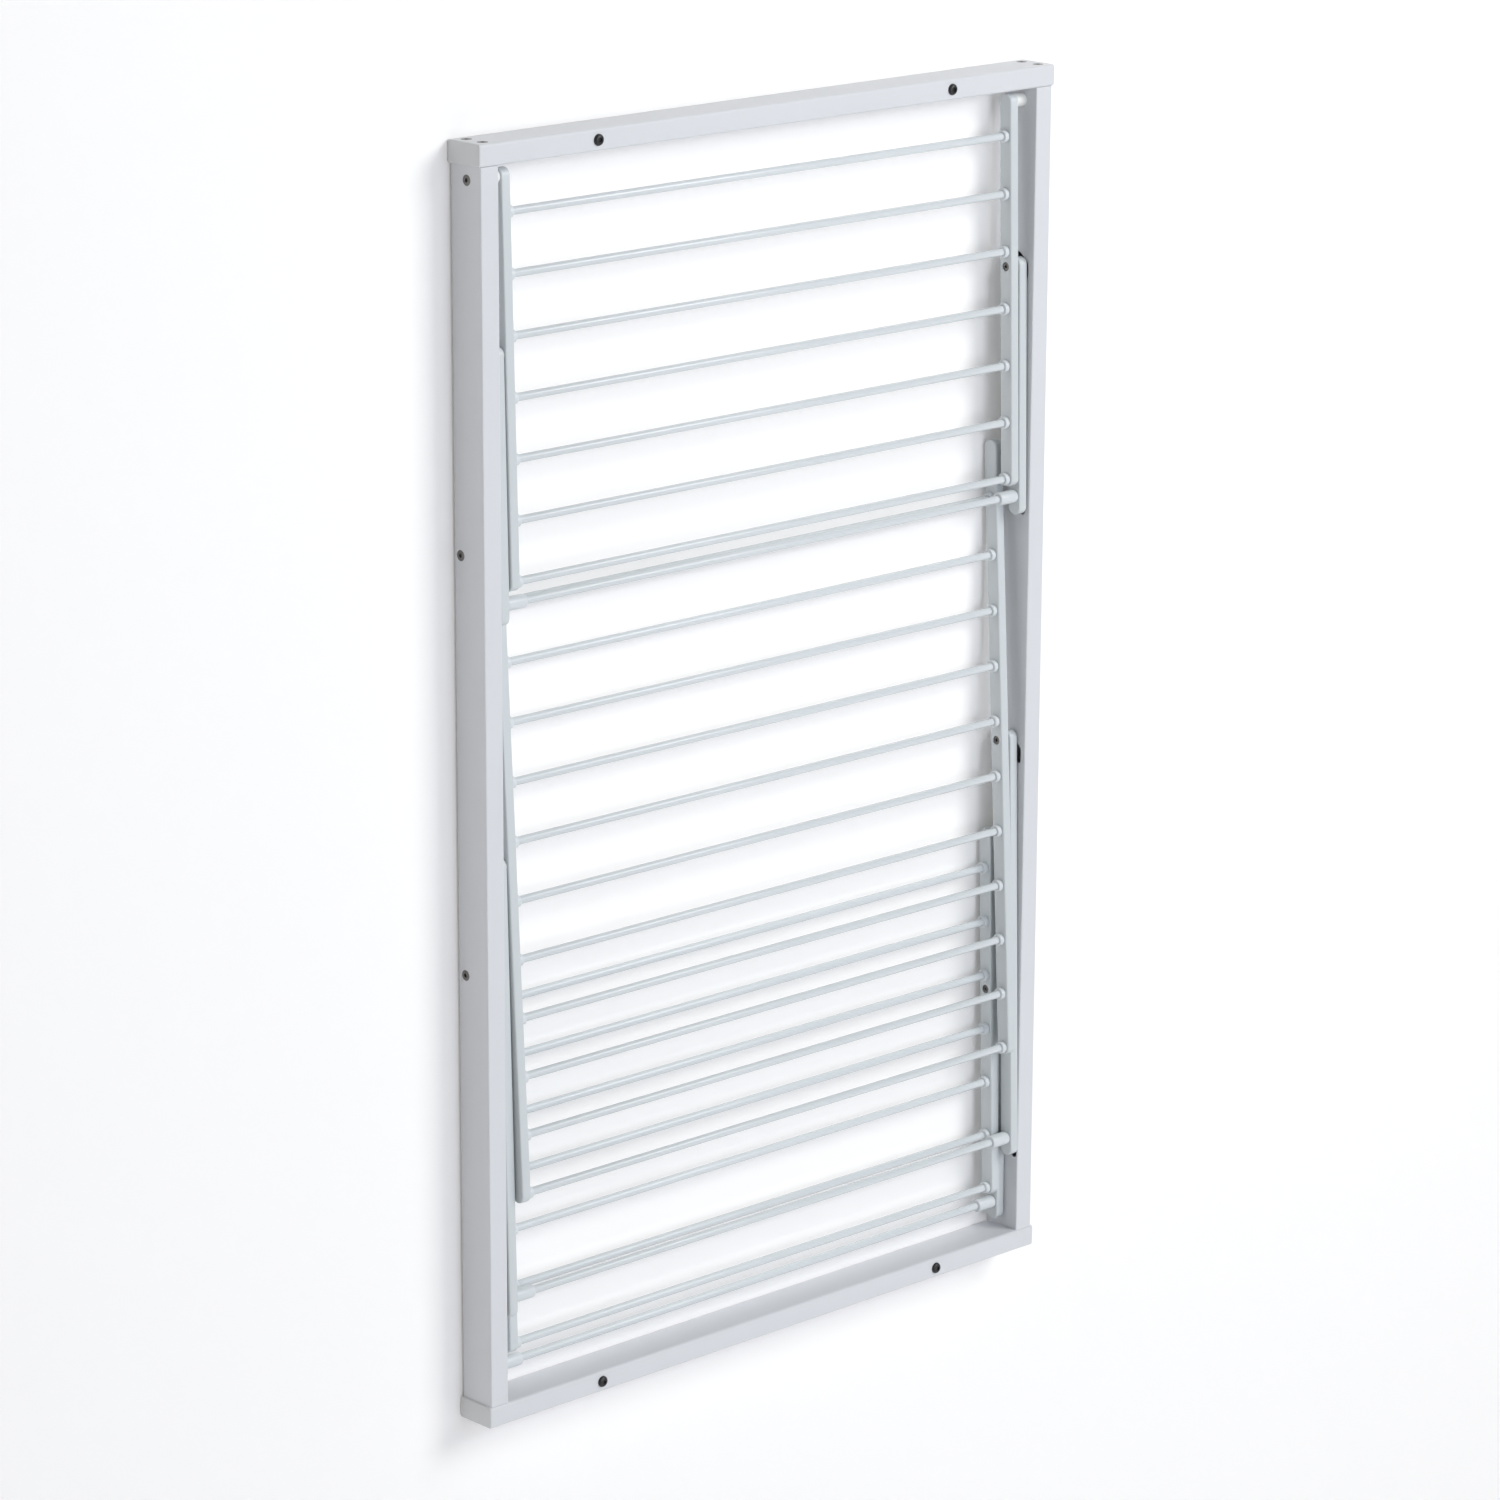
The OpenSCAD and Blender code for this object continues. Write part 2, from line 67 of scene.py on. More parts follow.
toBottom = (1, 1, -1)  # the scale of a mirror image at the bottom
sharpAngle = math.radians(50)  # an edge that turns further than this is rounded
smoothAngle = math.radians(35)  # an edge that turns further than this stays crisp
tiny = 0.001 * mm  # places closer together than this are the same place
facingShare = 0.9  # how squarely the end face of a bar looks along X, at the least
rimShare = 0.97  # how far out a rim lies, as a share of the radius, at the least
bpy.context.scene.cursor.location = (0, 0, 0)
print("frame loaded", len(nodes), "nodes")


def newGroup(name, inputs, outputs):
    group = bpy.data.node_groups.new(name, "ShaderNodeTree")
    for label, kind, value in inputs:
        socket = group.interface.new_socket(label, in_out="INPUT", socket_type=kind)
        socket.default_value = value
    for label, kind in outputs:
        group.interface.new_socket(label, in_out="OUTPUT", socket_type=kind)
    start = group.nodes.new("NodeGroupInput")
    end = group.nodes.new("NodeGroupOutput")
    return group, start, end


def addNoise(group, coords, scaleFrom, detail, rough):
    noise = group.nodes.new("ShaderNodeTexNoise")
    noise.inputs["Detail"].default_value = detail
    noise.inputs["Roughness"].default_value = rough
    group.links.new(coords, noise.inputs["Vector"])
    group.links.new(scaleFrom, noise.inputs["Scale"])
    return noise.outputs["Fac"]


def addMath(group, operation, first, second):
    node = group.nodes.new("ShaderNodeMath")
    node.operation = operation
    for socket, value in zip(node.inputs, (first, second)):
        if isinstance(value, (int, float)):
            socket.default_value = value
        else:
            group.links.new(value, socket)
    return node.outputs[0]


coatPlan = {
    "gritFineness": 4.5,  # against the size of the peel
    "driftFineness": 0.012,
    "gritTone": 0.35,  # how much the grit adds to the drift of tone
    "gritGloss": 0.04,
}


# a sprayed and baked coat: soft peel, fine grit and a slow drift of tone over the part
def makeCoatGroup():
    group, start, end = newGroup(
        "bakedCoat",
        [
            ("Coat", "NodeSocketColor", (0.8, 0.8, 0.8, 1)),
            ("Peel Size", "NodeSocketFloat", 600),
            ("Peel Share", "NodeSocketFloat", 0.7),
            ("Tone Drift", "NodeSocketFloat", 0.04),
            ("Gloss", "NodeSocketFloat", 0.4),
            ("Gloss Drift", "NodeSocketFloat", 0.1),
        ],
        [
            ("Color", "NodeSocketColor"),
            ("Roughness", "NodeSocketFloat"),
            ("Height", "NodeSocketFloat"),
        ],
    )
    links = group.links
    coords = group.nodes.new("ShaderNodeTexCoord").outputs["Object"]
    peel = addNoise(group, coords, start.outputs["Peel Size"], detail=2, rough=0.45)
    gritSize = addMath(
        group, "MULTIPLY", start.outputs["Peel Size"], coatPlan["gritFineness"]
    )
    grit = addNoise(group, coords, gritSize, detail=1, rough=0.5)
    driftSize = addMath(
        group, "MULTIPLY", start.outputs["Peel Size"], coatPlan["driftFineness"]
    )
    drift = addNoise(group, coords, driftSize, detail=3, rough=0.6)

    peelPart = addMath(group, "MULTIPLY", peel, start.outputs["Peel Share"])
    gritShare = addMath(group, "SUBTRACT", 1, start.outputs["Peel Share"])
    gritPart = addMath(group, "MULTIPLY", grit, gritShare)
    height = addMath(group, "ADD", peelPart, gritPart)
    links.new(height, end.inputs["Height"])

    centred = addMath(group, "SUBTRACT", drift, 0.5)
    speck = addMath(group, "SUBTRACT", grit, 0.5)
    softSpeck = addMath(group, "MULTIPLY", speck, coatPlan["gritTone"])
    mottle = addMath(group, "ADD", centred, softSpeck)
    tone = addMath(group, "MULTIPLY", mottle, start.outputs["Tone Drift"])
    tone = addMath(group, "ADD", tone, 1)
    tint = group.nodes.new("ShaderNodeVectorMath")
    tint.operation = "SCALE"
    links.new(start.outputs["Coat"], tint.inputs[0])
    links.new(tone, tint.inputs["Scale"])
    links.new(tint.outputs[0], end.inputs["Color"])

    wander = addMath(group, "MULTIPLY", centred, start.outputs["Gloss Drift"])
    fine = addMath(group, "MULTIPLY", speck, coatPlan["gritGloss"])
    rough = addMath(group, "ADD", start.outputs["Gloss"], wander)
    rough = addMath(group, "ADD", rough, fine)
    links.new(rough, end.inputs["Roughness"])
    return group


platePlan = {
    "scratchStretch": (1, 1, 0.15),  # a small share draws the scratches out along that axis
    "scratchGloss": 0.22,
}


# plated or blackened steel: cloudy patches under fine scratches that run upright
def makePlateGroup():
    group, start, end = newGroup(
        "platedSteel",
        [
            ("Bright", "NodeSocketColor", (0.7, 0.7, 0.7, 1)),
            ("Dull", "NodeSocketColor", (0.5, 0.5, 0.5, 1)),
            ("Cloud Size", "NodeSocketFloat", 300),
            ("Scratch Size", "NodeSocketFloat", 2500),
            ("Gloss", "NodeSocketFloat", 0.3),
        ],
        [
            ("Color", "NodeSocketColor"),
            ("Roughness", "NodeSocketFloat"),
            ("Height", "NodeSocketFloat"),
        ],
    )
    links = group.links
    coords = group.nodes.new("ShaderNodeTexCoord").outputs["Object"]
    stretch = group.nodes.new("ShaderNodeMapping")
    stretch.inputs["Scale"].default_value = platePlan["scratchStretch"]
    links.new(coords, stretch.inputs["Vector"])
    cloud = addNoise(group, coords, start.outputs["Cloud Size"], detail=3, rough=0.6)
    scratch = addNoise(
        group,
        stretch.outputs["Vector"],
        start.outputs["Scratch Size"],
        detail=2,
        rough=0.6,
    )
    blend = group.nodes.new("ShaderNodeMix")
    blend.data_type = "RGBA"
    links.new(cloud, blend.inputs["Factor"])
    brightIn, dullIn = [socket for socket in blend.inputs if socket.type == "RGBA"]
    blended = [socket for socket in blend.outputs if socket.type == "RGBA"][0]
    links.new(start.outputs["Bright"], brightIn)
    links.new(start.outputs["Dull"], dullIn)
    links.new(blended, end.inputs["Color"])
    part = addMath(group, "MULTIPLY", scratch, platePlan["scratchGloss"])
    rough = addMath(group, "ADD", start.outputs["Gloss"], part)
    links.new(rough, end.inputs["Roughness"])
    links.new(scratch, end.inputs["Height"])
    return group


coatGroup = makeCoatGroup()
plateGroup = makePlateGroup()


def newMaterial(name, group, values, shader, bump):
    material = bpy.data.materials.new(name)
    material.use_nodes = True
    tree = material.node_tree
    principled = tree.nodes["Principled BSDF"]
    look = tree.nodes.new("ShaderNodeGroup")
    look.node_tree = group
    for label, value in values.items():
        look.inputs[label].default_value = value
    relief = tree.nodes.new("ShaderNodeBump")
    relief.inputs["Strength"].default_value = bump["strength"]
    relief.inputs["Distance"].default_value = bump["depth"]
    tree.links.new(look.outputs["Color"], principled.inputs["Base Color"])
    tree.links.new(look.outputs["Roughness"], principled.inputs["Roughness"])
    tree.links.new(look.outputs["Height"], relief.inputs["Height"])
    tree.links.new(relief.outputs["Normal"], principled.inputs["Normal"])
    for label, value in shader.items():
        principled.inputs[label].default_value = value
    return material


# one white paint on the tubes, flat bars, rods and caps, each with its own tone and grain
whiteCoat = {
    "frame": (0.72, 0.73, 0.755, 1),
    "shelf": (0.64, 0.675, 0.69, 1),
    "rod": (0.70, 0.735, 0.755, 1),
    "cap": (0.70, 0.71, 0.72, 1),
}
framePaint = newMaterial(
    "framePaint",
    coatGroup,
    {
        "Coat": whiteCoat["frame"],
        "Peel Size": 700,
        "Peel Share": 0.75,
        "Tone Drift": 0.035,
        "Gloss": 0.42,
        "Gloss Drift": 0.12,
    },
    {"Specular IOR Level": 0.45},
    {"strength": 0.25, "depth": 0.0002},
)
shelfPaint = newMaterial(
    "shelfPaint",
    coatGroup,
    {
        "Coat": whiteCoat["shelf"],
        "Peel Size": 900,
        "Peel Share": 0.7,
        "Tone Drift": 0.04,
        "Gloss": 0.4,
        "Gloss Drift": 0.12,
    },
    {"Specular IOR Level": 0.45},
    {"strength": 0.22, "depth": 0.0002},
)
rodPaint = newMaterial(
    "rodPaint",
    coatGroup,
    {
        "Coat": whiteCoat["rod"],
        "Peel Size": 1100,
        "Peel Share": 0.8,
        "Tone Drift": 0.03,
        "Gloss": 0.22,
        "Gloss Drift": 0.08,
    },
    {"Specular IOR Level": 0.5},
    {"strength": 0.12, "depth": 0.0001},
)
collarPaint = newMaterial(
    "collarPaint",
    coatGroup,
    {
        "Coat": whiteCoat["rod"],
        "Peel Size": 1300,
        "Peel Share": 0.6,
        "Tone Drift": 0.05,
        "Gloss": 0.36,
        "Gloss Drift": 0.1,
    },
    {"Specular IOR Level": 0.45},
    {"strength": 0.2, "depth": 0.0001},
)
capPlastic = newMaterial(
    "capPlastic",
    coatGroup,
    {
        "Coat": whiteCoat["cap"],
        "Peel Size": 1800,
        "Peel Share": 0.35,
        "Tone Drift": 0.03,
        "Gloss": 0.5,
        "Gloss Drift": 0.06,
    },
    {"Specular IOR Level": 0.4},
    {"strength": 0.35, "depth": 0.0001},
)
bushNylon = newMaterial(
    "bushNylon",
    coatGroup,
    {
        "Coat": (0.82, 0.82, 0.80, 1),
        "Peel Size": 2600,
        "Peel Share": 0.5,
        "Tone Drift": 0.06,
        "Gloss": 0.46,
        "Gloss Drift": 0.1,
    },
    {"Specular IOR Level": 0.4},
    {"strength": 0.2, "depth": 0.0001},
)
# steel darkened well below bright zinc: painted shade that stands in for the shadow in the deep
# recesses the screw heads sit in
zincWithPaintedRecessShade = newMaterial(
    "zincWithPaintedRecessShade",
    plateGroup,
    {
        "Bright": (0.25, 0.24, 0.225, 1),
        "Dull": (0.11, 0.105, 0.1, 1),
        "Cloud Size": 450,
        "Scratch Size": 3000,
        "Gloss": 0.24,
    },
    {"Metallic": 1.0},
    {"strength": 0.25, "depth": 0.0001},
)
blackSteel = newMaterial(
    "blackSteel",
    plateGroup,
    {
        "Bright": (0.022, 0.021, 0.022, 1),
        "Dull": (0.009, 0.009, 0.01, 1),
        "Cloud Size": 500,
        "Scratch Size": 1800,
        "Gloss": 0.28,
    },
    {"Metallic": 0.0, "Specular IOR Level": 0.6},
    {"strength": 0.2, "depth": 0.0001},
)
print("materials made")


def deselectAll():
    if bpy.context.mode != "OBJECT":
        bpy.ops.object.mode_set(mode="OBJECT")
    bpy.ops.object.select_all(action="DESELECT")


def makeActive(piece):
    deselectAll()
    piece.select_set(True)
    bpy.context.view_layer.objects.active = piece


def setPlace(piece):
    makeActive(piece)
    bpy.ops.object.transform_apply(location=True, rotation=True, scale=True)


def editPiece(piece):
    makeActive(piece)
    bpy.ops.object.mode_set(mode="EDIT")
    bpy.ops.mesh.select_mode(type="FACE")


def leaveEdit():
    bpy.ops.object.mode_set(mode="OBJECT")


# selects the faces of the piece in edit mode that pass a test
def selectFaces(test):
    bpy.ops.mesh.select_mode(type="FACE")
    bpy.ops.mesh.select_all(action="DESELECT")
    shape = bmesh.from_edit_mesh(bpy.context.object.data)
    for face in shape.faces:
        face.select_set(bool(test(face)))
    bmesh.update_edit_mesh(bpy.context.object.data)


# selects the edges of the piece in edit mode that pass a test
def selectEdges(test):
    bpy.ops.mesh.select_mode(type="EDGE")
    bpy.ops.mesh.select_all(action="DESELECT")
    shape = bmesh.from_edit_mesh(bpy.context.object.data)
    for edge in shape.edges:
        edge.select_set(bool(test(edge)))
    bmesh.update_edit_mesh(bpy.context.object.data)


def isSharp(edge):
    return len(edge.link_faces) == 2 and edge.calc_face_angle() > sharpAngle


# whether a face looks along X, to either side
def isEnd(face):
    return abs(face.normal.x) > facingShare


# whether an edge lies on the outer rim of something round about the X axis
def isOuter(edge, radius):
    return min(v.co.yz.length for v in edge.verts) > radius * rimShare


# a bar along X between two places, round its own axis, at a height z
def addBar(name, start, end, radius, sides, z=0):
    deselectAll()
    bpy.ops.mesh.primitive_cylinder_add(
        vertices=sides,
        radius=radius,
        depth=end - start,
        location=((start + end) / 2, 0, z),
        rotation=acrossTurn,
    )
    piece = bpy.context.object
    piece.name = name
    setPlace(piece)
    return piece


def roundEdges(piece, width, steps, test=isSharp):
    editPiece(piece)
    selectEdges(test)
    bpy.ops.mesh.bevel(offset=width, segments=steps, affect="EDGES")
    leaveEdit()


# cuts one piece out of another and throws the cutter away
def cutOut(piece, cutter):
    makeActive(piece)
    cut = piece.modifiers.new("cut", "BOOLEAN")
    cut.operation = "DIFFERENCE"
    cut.solver = "EXACT"
    cut.object = cutter
    bpy.ops.object.modifier_apply(modifier=cut.name)
    bpy.data.objects.remove(cutter)


# a copy with its own mesh, moved to a place or turned into a mirror image
def copyOf(piece, name, move=(0, 0, 0), mirror=None):
    twin = piece.copy()
    twin.data = piece.data.copy()
    twin.name = name
    bpy.context.scene.collection.objects.link(twin)
    twin.location = move
    if mirror:
        twin.scale = mirror
    setPlace(twin)
    if mirror:
        outward(twin)
    return twin


# merges doubles and turns every face outwards
def outward(piece):
    editPiece(piece)
    bpy.ops.mesh.select_all(action="SELECT")
    bpy.ops.mesh.remove_doubles(threshold=tiny)
    bpy.ops.mesh.normals_make_consistent(inside=False)
    leaveEdit()


def joinPieces(pieces, name):
    deselectAll()
    for piece in pieces:
        piece.select_set(True)
    bpy.context.view_layer.objects.active = pieces[0]
    if len(pieces) > 1:
        bpy.ops.object.join()
    pieces[0].name = name
    return pieces[0]


def finishPiece(piece, material, body, replaced):
    makeActive(piece)
    piece.data.materials.clear()
    piece.data.materials.append(material)
    bpy.ops.object.shade_smooth_by_angle(angle=smoothAngle)
    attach(piece, body)
    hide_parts(*replaced)


def middleOf(node):
    low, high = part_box(node)
    return (low + high) / 2


def sizeOf(node):
    low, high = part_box(node)
    return high - low


# sizes shared by the pieces, read from the frame
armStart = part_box("upper_right_arm")[0].x
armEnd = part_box("upper_right_arm")[1].x
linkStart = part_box("upper_right_link")[0].x
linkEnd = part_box("upper_right_link")[1].x
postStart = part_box("right_post")[0].x
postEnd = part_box("right_post")[1].x
rodRadius = sizeOf("upper_cross_bar").z / 2


rodPlan = {
    "sides": 40,
    "endRound": 0.6 * mm,
    "endSteps": 2,
    "count": {"upper": 7, "middle": 11, "lower": 7},
}


# the middle of every rod in a shelf, from the first to the last
def rodPlaces(tier):
    low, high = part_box(tier + "_rods")
    first = Vector((0, high.y - rodRadius, high.z - rodRadius))
    last = Vector((0, low.y + rodRadius, low.z + rodRadius))
    steps = rodPlan["count"][tier] - 1
    return [first.lerp(last, index / steps) for index in range(steps + 1)]


def makeRod(name, node):
    low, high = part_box(node)
    rod = addBar(name, low.x, high.x, rodRadius, rodPlan["sides"])
    roundEdges(rod, rodPlan["endRound"], rodPlan["endSteps"])
    return rod


for tier in tiers:
    pattern = makeRod("rodPattern", tier + "_rods")
    rods = [copyOf(pattern, "rod", place) for place in rodPlaces(tier)]
    bpy.data.objects.remove(pattern)
    shelfRods = joinPieces(rods, tier + "Rods")
    finishPiece(shelfRods, rodPaint, tier + "_shelf", [tier + "_rods"])
    bar = makeRod(tier + "CrossBar", tier + "_cross_bar")
    bar.location = middleOf(tier + "_cross_bar")
    setPlace(bar)
    finishPiece(bar, rodPaint, tier + "_links", [tier + "_cross_bar"])
print("rods and cross bars made")


ringPlan = {
    "sides": 40,
    "rimRound": 1.0 * mm,
    "rimSteps": 4,
    "boreGap": 0.05 * mm,
    "sleeveRound": 1.3 * mm,
    "collarLength": 5 * mm,
    "sleeveLength": 21 * mm,
}


# a ring along X, bored for a bar: both ends are inset to the bore and bridged through
def makeRing(name, start, end, outside, bore, rimRound):
    ring = addBar(name, start, end, outside, ringPlan["sides"])
    editPiece(ring)
    selectFaces(isEnd)
    bpy.ops.mesh.inset(thickness=outside - bore, depth=0)
    selectFaces(
        lambda face: isEnd(face) and face.calc_center_median().yz.length < bore / 2
    )
    bpy.ops.mesh.bridge_edge_loops()
    selectEdges(lambda edge: isSharp(edge) and isOuter(edge, outside))
    bpy.ops.mesh.bevel(
        offset=rimRound, segments=ringPlan["rimSteps"], affect="EDGES"
    )
    leaveEdit()
    return ring


# the ring on the right, and its mirror image on the left, at every place in the list
def ringsAt(ring, places):
    made = []
    for place in places:
        right = copyOf(ring, "ringRight", place)
        made += [right, copyOf(right, "ringLeft", mirror=toLeft)]
    bpy.data.objects.remove(ring)
    return made


for tier in tiers:
    places = rodPlaces(tier)
    bore = rodRadius + ringPlan["boreGap"]
    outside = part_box(tier + "_collars")[1].z - places[0].z
    start = armStart - ringPlan["collarLength"]
    collar = makeRing("collar", start, armStart, outside, bore, ringPlan["rimRound"])
    collars = joinPieces(ringsAt(collar, places), tier + "Collars")
    finishPiece(collars, collarPaint, tier + "_shelf", [tier + "_collars"])

    outside = sizeOf(tier + "_sleeves").z / 2
    start = linkStart - ringPlan["sleeveLength"]
    sleeve = makeRing("sleeve", start, linkStart, outside, bore, ringPlan["sleeveRound"])
    places = [middleOf(tier + "_cross_bar")]
    sleeves = joinPieces(ringsAt(sleeve, places), tier + "Sleeves")
    finishPiece(sleeves, collarPaint, tier + "_links", [tier + "_sleeves"])
print("collars and sleeves made")


flatPlan = {
    "sides": 48,
    "boreSides": 32,
    "headBoreSides": 40,
    "edgeRound": 1.4 * mm,
    "roundSteps": 5,
    "seatGap": 0.1 * mm,
    "pinGap": 0.05 * mm,
    "floor": 1.5 * mm,  # left standing at the end of a blind bore
    "rodSeat": 6 * mm,
    "pinRadius": 2.5 * mm,
    "headRadius": 4 * mm,
    "headSeat": 3 * mm,
    "guideRadius": 3 * mm,
    "guideSeat": 3 * mm,
    "barSeat": 5 * mm,
    "past": 1 * mm,  # how far a cutter stands out of what it cuts
}


# a flat bar hanging from the origin: a disc is split across and its lower half drawn down
def makeFlatBar(name, start, end, halfWidth, length):
    bar = addBar(name, start, end, halfWidth, flatPlan["sides"])
    editPiece(bar)
    bpy.ops.mesh.select_all(action="SELECT")
    bpy.ops.mesh.bisect(plane_co=(0, 0, 0), plane_no=(0, 0, 1))
    selectFaces(lambda face: face.calc_center_median().z < 0)
    bpy.ops.mesh.extrude_region_move(TRANSFORM_OT_translate={"value": (0, 0, -length)})
    leaveEdit()
    outward(bar)
    roundEdges(bar, flatPlan["edgeRound"], flatPlan["roundSteps"])
    return bar


# turns a part that hangs from the origin to the line between two places
def hangBetween(piece, top, foot):
    way = foot - top
    piece.rotation_euler = (math.asin(way.y / way.yz.length), 0, 0)
    piece.location = (0, top.y, top.z)
    setPlace(piece)


def bothSides(piece, tier, kind, body):
    left = copyOf(piece, tier + "Left" + kind.capitalize(), mirror=toLeft)
    name = tier + "_%s_" + kind
    finishPiece(piece, shelfPaint, body, [name % "right"])
    finishPiece(left, shelfPaint, body, [name % "left"])


for tier in tiers:
    pivot = jointAt[tier + "_shelf_fold"]
    pin = jointAt[tier + "_link_swing"]
    rodsAt = rodPlaces(tier)
    pinDown = (pin - pivot).yz.length
    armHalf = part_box(tier + "_right_arm")[1].z - pivot.z
    arm = makeFlatBar(
        tier + "RightArm", armStart, armEnd, armHalf, (rodsAt[-1] - pivot).yz.length
    )
    pinBore = flatPlan["pinRadius"] + flatPlan["pinGap"]
    headBore = flatPlan["headRadius"] + flatPlan["seatGap"]
    seatBore = rodRadius + flatPlan["seatGap"]
    before, after = armStart - flatPlan["past"], armEnd + flatPlan["past"]
    sides, headSides = flatPlan["boreSides"], flatPlan["headBoreSides"]
    cutOut(arm, addBar("cutter", armStart + flatPlan["floor"], after, pinBore, sides))
    cutOut(arm, addBar("cutter", before, after, pinBore, sides, z=-pinDown))
    headEnd = armStart + flatPlan["headSeat"]
    cutOut(arm, addBar("cutter", before, headEnd, headBore, headSides, z=-pinDown))
    seats = []
    for place in rodsAt:
        down = (place - pivot).yz.length
        end = armStart + flatPlan["rodSeat"]
        seats.append(addBar("seat", before, end, seatBore, sides, z=-down))
    cutOut(arm, joinPieces(seats, "cutter"))
    hangBetween(arm, pivot, rodsAt[-1])
    bothSides(arm, tier, "arm", tier + "_shelf")

    foot = middleOf(tier + "_cross_bar")
    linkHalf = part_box(tier + "_right_link")[1].z - pin.z
    way = foot - pin
    footDown = way.yz.length
    tailDown = (pin.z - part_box(tier + "_right_link")[0].z - linkHalf) * footDown / -way.z
    link = makeFlatBar(tier + "RightLink", linkStart, linkEnd, linkHalf, tailDown)
    before, after = linkStart - flatPlan["past"], linkEnd + flatPlan["past"]
    cutOut(link, addBar("cutter", before, linkEnd - flatPlan["floor"], pinBore, sides))
    end = linkStart + flatPlan["barSeat"]
    cutOut(link, addBar("cutter", before, end, seatBore, sides, z=-footDown))
    guideBore = flatPlan["guideRadius"] + flatPlan["seatGap"]
    start = linkEnd - flatPlan["guideSeat"]
    cutOut(link, addBar("cutter", start, after, guideBore, sides, z=-footDown))
    hangBetween(link, pin, foot)
    bothSides(link, tier, "link", tier + "_links")
print("arms and links made")


screwPlan = {
    "sides": 40,
    "socket": 2 * mm,
    "socketSides": 6,
    "socketDepth": 1.2 * mm,
    "flushRadius": 4.75 * mm,
    "flushDepth": 2.4 * mm,
    "rimRound": 0.3 * mm,
    "rimSteps": 2,
    "bushRound": 0.6 * mm,
    "pinSteps": 3,
    "domeRound": 2.6 * mm,
    "domeSteps": 10,
    "shank": 2 * mm,
    "frameReach": 26 * mm,
    "headSunk": 1 * mm,
    "headThick": 2 * mm,
    "floorGap": 1.9 * mm,  # from the tip of a pin to the face beyond it
    "threadPitch": 2 * mm,
    "threadRadius": 2.5 * mm,
    "threadRoot": 1.9 * mm,
    "threadRise": 0.4,  # the shares of one turn that rise, stay level and fall
    "threadCrest": 0.15,
    "threadFall": 0.45,
    "tip": 4 * mm,
    "tipShare": 0.12,  # of the thread's root
    "moveGap": 0.4 * mm,  # between a ring and the part that turns beside it
}


# draws out the selected end of a bar along X, and widens or narrows it
def drawEnd(side, distance, scale):
    bpy.ops.mesh.extrude_region_move(
        TRANSFORM_OT_translate={"value": (side * distance, 0, 0)}
    )
    bpy.ops.transform.resize(value=(1, scale, scale), center_override=(0, 0, 0))


# selects the flat end of the bar that lies furthest along X on one side
def selectEnd(side):
    shape = bmesh.from_edit_mesh(bpy.context.object.data)
    far = max(side * vert.co.x for vert in shape.verts)
    selectFaces(lambda face: side * face.calc_center_median().x > far - tiny)


# whether an edge lies on the rim of a head whose face is at one place along X
def onRim(edge, face, radius):
    flat = all(abs(v.co.x - face) < tiny for v in edge.verts)
    return flat and isOuter(edge, radius)


def roundHead(screw, face, radius):
    roundEdges(
        screw,
        screwPlan["rimRound"],
        screwPlan["rimSteps"],
        lambda edge: onRim(edge, face, radius),
    )


def cutSocket(screw, top):
    start, end = top - screwPlan["socketDepth"], top + flatPlan["past"]
    cutter = addBar("cutter", start, end, screwPlan["socket"], screwPlan["socketSides"])
    cutOut(screw, cutter)


# a screw whose flush cone head looks along +X, with its face at the origin
def makeFlushScrew(name, shank, reach):
    depth = screwPlan["flushDepth"]
    screw = addBar(name, -reach, -depth, shank, screwPlan["sides"])
    editPiece(screw)
    selectEnd(1)
    drawEnd(1, depth, screwPlan["flushRadius"] / shank)
    leaveEdit()
    roundHead(screw, 0, screwPlan["flushRadius"])
    cutSocket(screw, 0)
    return screw


# joins screws, pins or rings into the one piece that takes a node's place
def finishSet(parts, name, body, replaced, material=zincWithPaintedRecessShade):
    finishPiece(joinPieces(parts, name), material, body, [replaced])


low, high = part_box("frame_screws")
pattern = makeFlushScrew("screw", screwPlan["shank"], screwPlan["frameReach"])
pattern.rotation_euler = (0, -math.pi / 2, 0)  # the head now looks up
setPlace(pattern)
flushRadius = screwPlan["flushRadius"]
screws = []
for y in (low.y + flushRadius, high.y - flushRadius):
    right = copyOf(pattern, "screw", (high.x - flushRadius, y, high.z))
    left = copyOf(right, "screw", mirror=toLeft)
    for upper in (right, left):
        screws += [upper, copyOf(upper, "screw", mirror=toBottom)]
bpy.data.objects.remove(pattern)
finishSet(screws, "frameScrews", "frame", "frame_screws")

boltReach = postEnd - armStart - screwPlan["floorGap"]
pattern = makeFlushScrew("bolt", flatPlan["pinRadius"], boltReach)
bolts = []
for tier in tiers:
    pivot = jointAt[tier + "_shelf_fold"]
    right = copyOf(pattern, "bolt", (postEnd, pivot.y, pivot.z))
    bolts += [right, copyOf(right, "bolt", mirror=toLeft)]
bpy.data.objects.remove(pattern)
finishSet(bolts, "pivotBolts", "frame", "pivot_bolts")

# the left link screw, whose head looks along +X, then its mirror image
for tier in tiers:
    pin = jointAt[tier + "_link_swing"]
    top = -armStart - screwPlan["headSunk"]
    under = top - screwPlan["headThick"]
    far = -linkEnd + screwPlan["floorGap"]
    screw = addBar("linkScrew", far, under, flatPlan["pinRadius"], screwPlan["sides"])
    editPiece(screw)
    selectEnd(1)
    drawEnd(1, 0, flatPlan["headRadius"] / flatPlan["pinRadius"])
    drawEnd(1, screwPlan["headThick"], 1)
    leaveEdit()
    roundHead(screw, top, flatPlan["headRadius"])
    cutSocket(screw, top)
    screw.location = (0, pin.y, pin.z)
    setPlace(screw)
    pair = [screw, copyOf(screw, "linkScrew", mirror=toLeft)]
    finishSet(pair, tier + "LinkScrews", tier + "_shelf", tier + "_link_screws")


